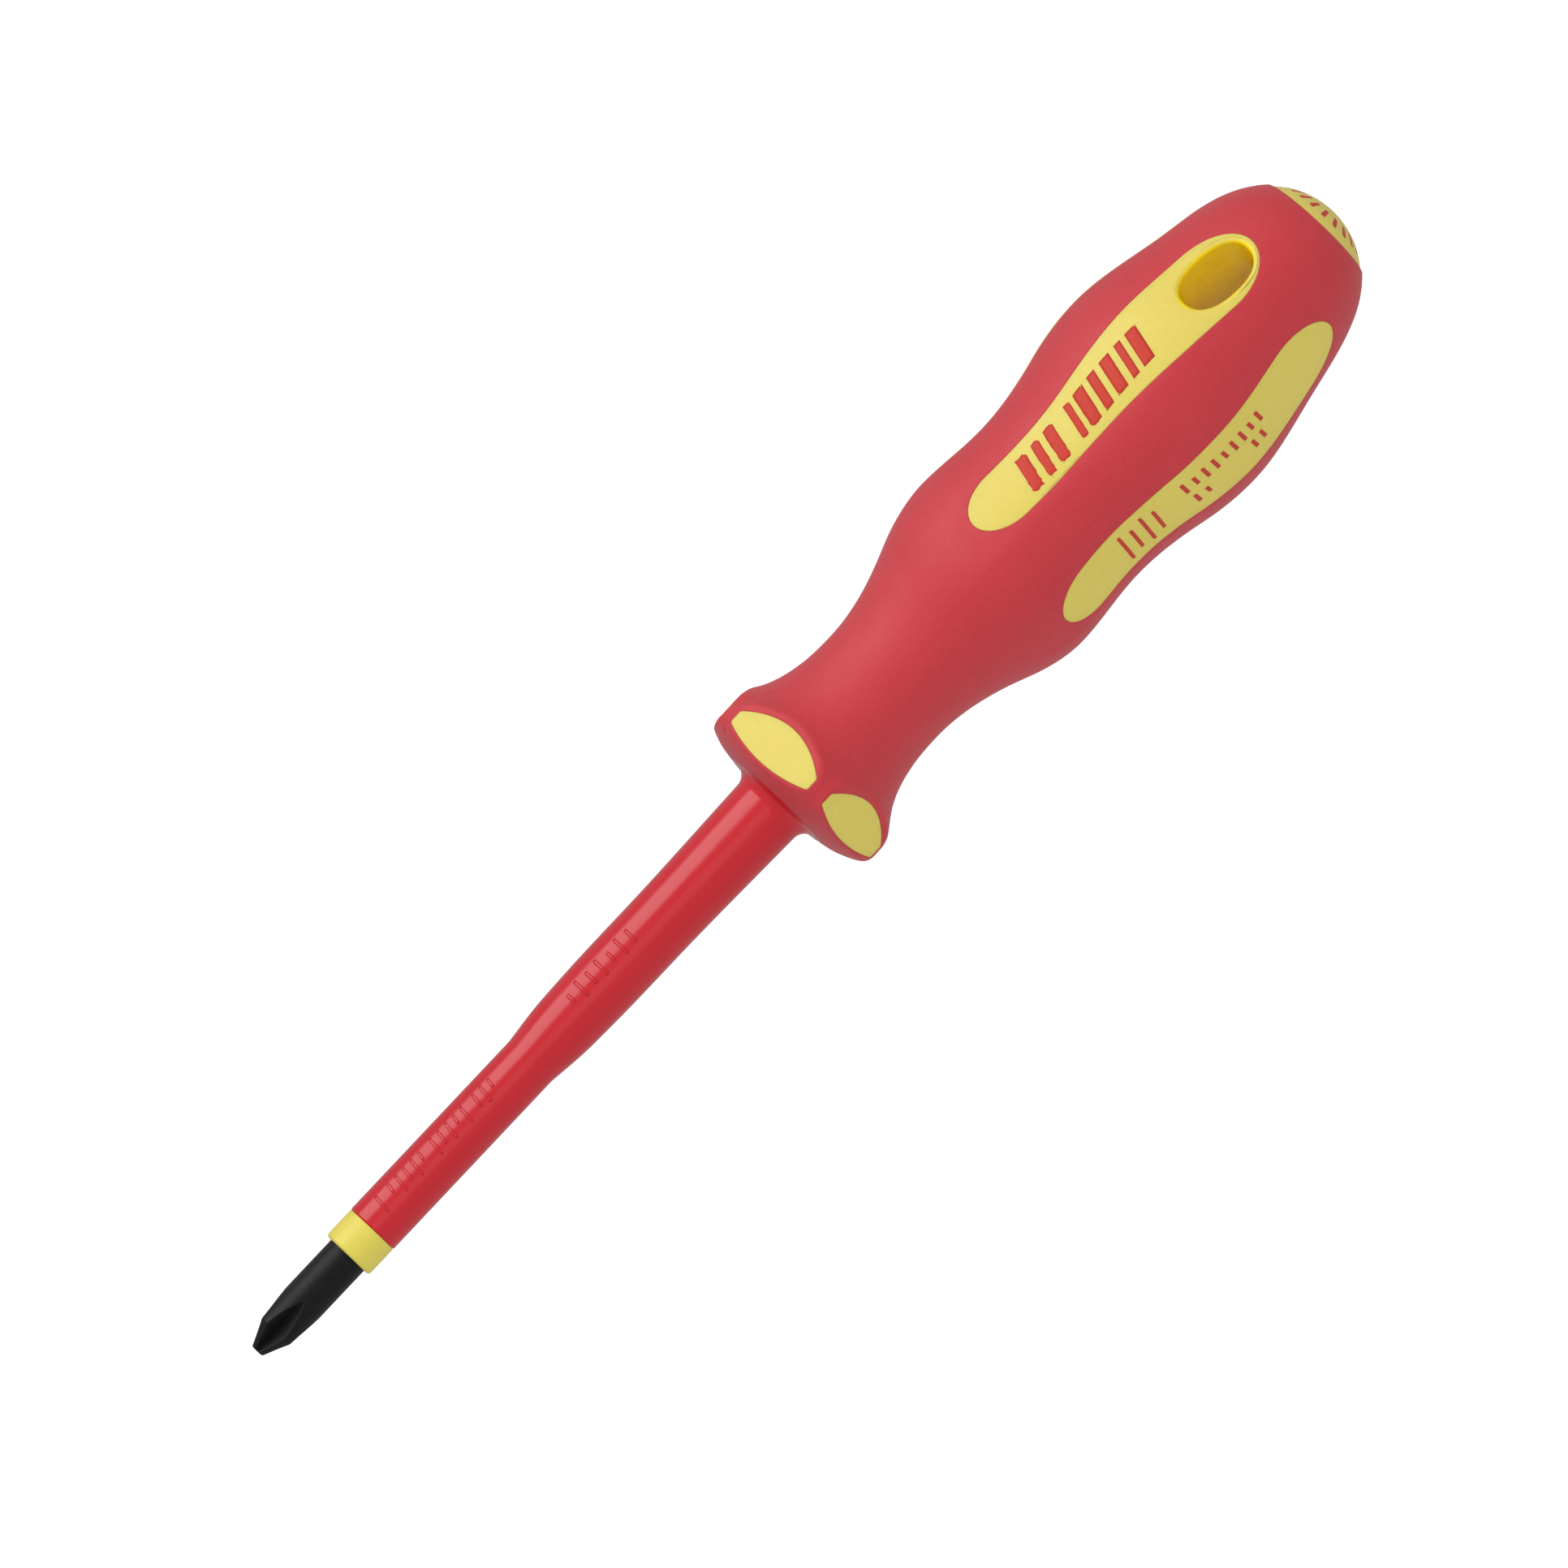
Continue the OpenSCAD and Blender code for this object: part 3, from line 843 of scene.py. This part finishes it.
def outer_insulation():
    """The red sleeve: thin part, step, taper, fillet and flange, and the collar inside the guard."""
    edge = 0.3
    flange_r = FLANGE_R - 0.04               # clear of the grip, with a fine groove round it
    flange_back = FRONT + 1.4
    hub_r, hub_end = 6.0, FRONT + 11.4
    end = FRONT + SLEEVE_ROOT
    curve = SLEEVE_CURVE + [FRONT, 0]
    front = np.linspace(SLEEVE_START + edge, curve[0, 0], 12)[:-1]
    fillet = (FRONT - FILLET_R, SLEEVE_END_R + FILLET_R)
    outline = np.vstack([
        [[SLEEVE_START, INNER_R]],
        arc((SLEEVE_START + edge, SLEEVE_R - edge), edge, 180, 90, 6)[:-1],
        np.column_stack([front, np.full_like(front, SLEEVE_R)]),
        curve,
        arc(fillet, FILLET_R, 270, 360, 14)[1:],
        arc((FRONT + edge, flange_r - edge), edge, 180, 90, 6),
        [[flange_back, flange_r], [flange_back + 0.2, hub_r], [hub_end, hub_r], [end, hub_r - 0.6],
         [end, INNER_R], [SLEEVE_START, INNER_R]],
    ])
    shell = Shell()
    lathe(shell, outline)
    piece = shell.make("outer_insulation_sleeve", GLOSSY_RED)
    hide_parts("outer_insulation")


# ---- blade ----

TIP_R = 0.95                                 # radius of the flat at the end of the tip
CONE_LEN = 3.65
POINT_LEN = 12.15                            # the finely meshed length, which holds the flutes
FLUTE_SIDE = math.radians(112.5)             # which way the first flute faces
WHEEL_R = 20.0                               # radius of the wheel that grinds a flute
WHEEL_AT = -0.3                              # X of the wheel's middle
TIP_WEB = 1.2                                # thickness left between opposite flutes at the tip


def blade_radius(x, angle):
    """The blade's radius at a place and an angle: its turned outline less four ground flutes."""
    turned = np.interp(x, (0, CONE_LEN), (TIP_R, SHANK_R))
    away = (angle - FLUTE_SIDE + math.pi / 4) % (math.pi / 2) - math.pi / 4
    reach = np.sqrt(np.clip(WHEEL_R ** 2 - (x - WHEEL_AT) ** 2, 0, None))
    depth = TIP_WEB / 2 + WHEEL_R - reach
    floor_round = 0.0006                     # rounds the flute where its two faces meet
    spread = np.cos(away) - np.sqrt(np.sin(away) ** 2 + floor_round)
    flute = depth / np.clip(spread, 0.02, None)
    return smooth_min(turned, flute, 0.1)


def blade():
    """The black steel shank with its ground cross point, on to its end inside the handle."""
    turns = 384
    angle = np.arange(turns) * 2 * math.pi / turns
    shell = Shell()

    def ring(x, r):
        return np.stack([np.full(turns, x), r * np.cos(angle), r * np.sin(angle)], axis=-1)

    rows = [ring(x, blade_radius(np.full(turns, x), angle) - inset)
            for x, inset in ((0.0, 0.4), (0.03, 0.18), (0.08, 0.06))]
    shank = [15.0, 18.0, 60.0, 110.0, BLADE_END - 1]
    rows += [ring(x, blade_radius(np.full(turns, x), angle))
             for x in np.concatenate([np.linspace(0.15, POINT_LEN, 193), shank])]
    rows.append(ring(BLADE_END, np.full(turns, SHANK_R - 1)))
    shell.grid(np.stack(rows), wrap_cols=True)
    shell.fan(rows[0])
    shell.fan(rows[-1])
    piece = shell.make("blade_shank", BLACK_STEEL)
    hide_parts("blade")


# ---- raised and printed marks, plain bars in place of lettering ----

def bar(shell, surface, middle, length, width, slant, height, sink, steps=(8, 5)):
    """A closed rounded bar that lies on a surface. surface(along, across, lift) gives its places,
    and length runs across the tool."""
    u = np.linspace(-1, 1, steps[0] + 1)
    w = np.linspace(-1, 1, steps[1] + 1)
    uu, ww = np.meshgrid(u, w, indexing="ij")
    across = middle[1] + uu * length / 2
    along = middle[0] + ww * width / 2 + uu * slant / 2
    edge = np.clip(np.minimum((1 - np.abs(uu)) * length / 2, (1 - np.abs(ww)) * width / 2) / 0.12, 0, 1)
    lift = height * np.sqrt(1 - (1 - edge) ** 2)
    top = surface(along, across, lift)
    base = surface(along, across, np.full_like(lift, -sink))
    shell.grid(top)
    shell.grid(base)
    for sheet_top, sheet_base in ((top[0], base[0]), (top[-1], base[-1]),
                                  (top[:, 0], base[:, 0]), (top[:, -1], base[:, -1])):
        shell.grid(np.stack([sheet_top, sheet_base]))


def on_sleeve(along, across, lift):
    """Places on the sleeve under the hole's side. along is X and across is the distance round."""
    r = sleeve_radius(along)
    angle = HOLE_SIDE - across / r
    r = r + lift
    return np.stack([along, r * np.cos(angle), r * np.sin(angle)], axis=-1)


def on_panel(side):
    """The places on one side's panel, along being h."""
    def places(along, across, lift):
        delta = panel_delta(along, across)
        return on_handle(along, section(along, delta) + lift, delta, side)
    return places


def on_cap(along, across, lift):
    """Places on the cap's dome. along is the distance from its middle and across the angle."""
    x = CAP_DOME_X + np.sqrt(CAP_DOME_R ** 2 - along ** 2) + lift
    return np.stack([x, along * np.cos(across), along * np.sin(across)], axis=-1)


def sleeve_marks():
    """Raised bars moulded along the sleeve: a long row on its thin part and a short one behind."""
    shell = Shell()
    tall = 3.0
    share = (1.0, 0.55, 1.0, 0.8)
    x = 25.4
    k = 0
    while x < 47.2:
        size = share[k % 4]
        bar(shell, on_sleeve, (x, (1 - size) * 1.2), tall * size, 0.5, 0.25, 0.09, 0.2)
        x += 1.45 if k % 5 else 2.3
        k += 1
    for k in range(7):
        bar(shell, on_sleeve, (62.2 + 1.9 * k, 0), tall * share[(k + 1) % 4], 0.55, 0.0, 0.14, 0.2)
    piece = shell.make("sleeve_raised_bars", GLOSSY_RED)


INK_HEIGHT = 0.02
INK_SINK = 0.1                               # how deep a bar of ink reaches into the core


def panel_marks():
    """Ink bars on two panels and a ring of ink ticks on the cap."""
    shell = Shell()

    def ink(surface, middle, length, width, slant, steps):
        bar(shell, surface, middle, length, width, slant, INK_HEIGHT, INK_SINK, steps)

    for k, h in enumerate((53.7, 56.4, 59.0, 62.9, 65.2, 67.9, 70.6, 73.2, 75.7)):
        ink(on_panel(0), (h, 0.0), 5.3, (2.0, 1.5, 1.9, 1.2)[k % 4], -1.4, (12, 4))
    for k in range(4):
        ink(on_panel(1), (55.6 + 1.9 * k, 0.4), 5.4 - 1.2 * (k % 2), 0.55, 0.0, (12, 3))
    for across, tall, places in ((-1.2, 2.1, (66.4, 68.2, 69.9, 71.6, 73.3, 75.0, 76.7, 78.4, 80.1)),
                                 (1.8, 1.8, (67.0, 68.8, 77.4, 79.1))):
        for k, h in enumerate(places):
            ink(on_panel(1), (h, across), tall - 0.5 * (k % 3 == 1), 0.6, 0.2, (6, 3))
    ticks = 20
    for k in range(ticks):
        ink(on_cap, (5.8, 2 * math.pi * k / ticks), 0.12, 2.0, 0.0, (4, 6))
    piece = shell.make("printed_bars", INK)


# ---- setting ----

DISTANCE = 1.7                               # from the camera to the tool's middle, in metres
VIEW_WIDTH = 0.2077                          # what the camera's frame spans there
SENSOR = 36
TILT = math.radians(3.5)                     # the camera looks from a little in front of square
TURN = math.radians(22.5)                    # and from this far round from the hole's side
ROLL = math.radians(46.69)                   # the tool points up to the right
MIDDLE = Vector((0.10385, 0, 0))             # half-way along the tool
AIM_LEFT, AIM_DOWN = 0.00155, 0.00055        # the camera aims this far beside it


def camera():
    """The photograph's viewpoint: a long lens, looking down on the tool, rolled about its own axis.
    Returns the camera's right, up and back directions."""
    square = Vector((0, -math.sin(TURN), math.cos(TURN)))
    back = (square * math.cos(TILT) - Vector((1, 0, 0)) * math.sin(TILT)).normalized()
    along = Vector((1, 0, 0))
    along = (along - back * along.dot(back)).normalized()
    upward = back.cross(along)
    right = along * math.cos(ROLL) - upward * math.sin(ROLL)
    up = along * math.sin(ROLL) + upward * math.cos(ROLL)
    data = bpy.data.cameras.new("camera")
    data.sensor_width = SENSOR
    data.lens = SENSOR * DISTANCE / VIEW_WIDTH
    data.clip_end = 20
    aim = MIDDLE - right * AIM_LEFT - up * AIM_DOWN
    view = bpy.data.objects.new("camera", data)
    turn = Matrix((right, up, back)).transposed().to_4x4()
    view.matrix_world = Matrix.Translation(aim + back * DISTANCE) @ turn
    bpy.context.scene.collection.objects.link(view)
    bpy.context.scene.camera = view
    return right, up, back


def softbox(name, place, size, power):
    """A large square soft lamp aimed at the tool."""
    data = bpy.data.lights.new(name, "AREA")
    data.shape = "RECTANGLE"
    data.size = data.size_y = size
    data.energy = power
    lamp = bpy.data.objects.new(name, data)
    lamp.location = place
    lamp.rotation_euler = (MIDDLE - place).to_track_quat("-Z", "Y").to_euler()
    bpy.context.scene.collection.objects.link(lamp)
    return lamp


def pale_floor():
    """A plain pale floor that glows a little, well below the tool."""
    half = 3.0
    level = cad_box[0][2] - 0.5
    corners = [(x, y, level) for x, y in ((-half, -half), (half, -half), (half, half), (-half, half))]
    mesh = bpy.data.meshes.new("floor")
    mesh.from_pydata(corners, [], [(0, 1, 2, 3)])
    pale = bpy.data.materials.new("pale_floor")
    pale.use_nodes = True
    shader = pale.node_tree.nodes["Principled BSDF"]
    shader.inputs["Base Color"].default_value = (0.55, 0.55, 0.55, 1)
    shader.inputs["Roughness"].default_value = 0.9
    shader.inputs["Emission Color"].default_value = (1, 1, 1, 1)
    shader.inputs["Emission Strength"].default_value = 0.6
    mesh.materials.append(pale)
    floor = bpy.data.objects.new("floor", mesh)
    bpy.context.scene.collection.objects.link(floor)
    floor.visible_glossy = False


def setting():
    """White surroundings, a key lamp to the upper left, a fill lamp by the camera, and the floor."""
    right, up, back = camera()
    upper_left = up * math.cos(ROLL) - right * math.sin(ROLL)     # square to the tool
    world = bpy.data.worlds.new("studio")
    world.use_nodes = True
    world.node_tree.nodes["Background"].inputs["Color"].default_value = (1.0, 1.0, 1.0, 1)
    world.node_tree.nodes["Background"].inputs["Strength"].default_value = 0.42
    bpy.context.scene.world = world
    softbox("key", MIDDLE + (upper_left * 0.885 + back * 0.46), size=0.85, power=6.0)
    fill = softbox("fill", MIDDLE + back * 2.1, size=1.0, power=22.5)
    fill.visible_glossy = False
    pale_floor()
    bpy.context.scene.view_settings.view_transform = "Standard"


blade()
inner_insulation()
outer_insulation()
sleeve_marks()
soft_grip()
handle_core()
end_cap()
panel_marks()
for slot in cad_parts["inner_core"].material_slots:
    slot.material = HUB_GREY
setting()
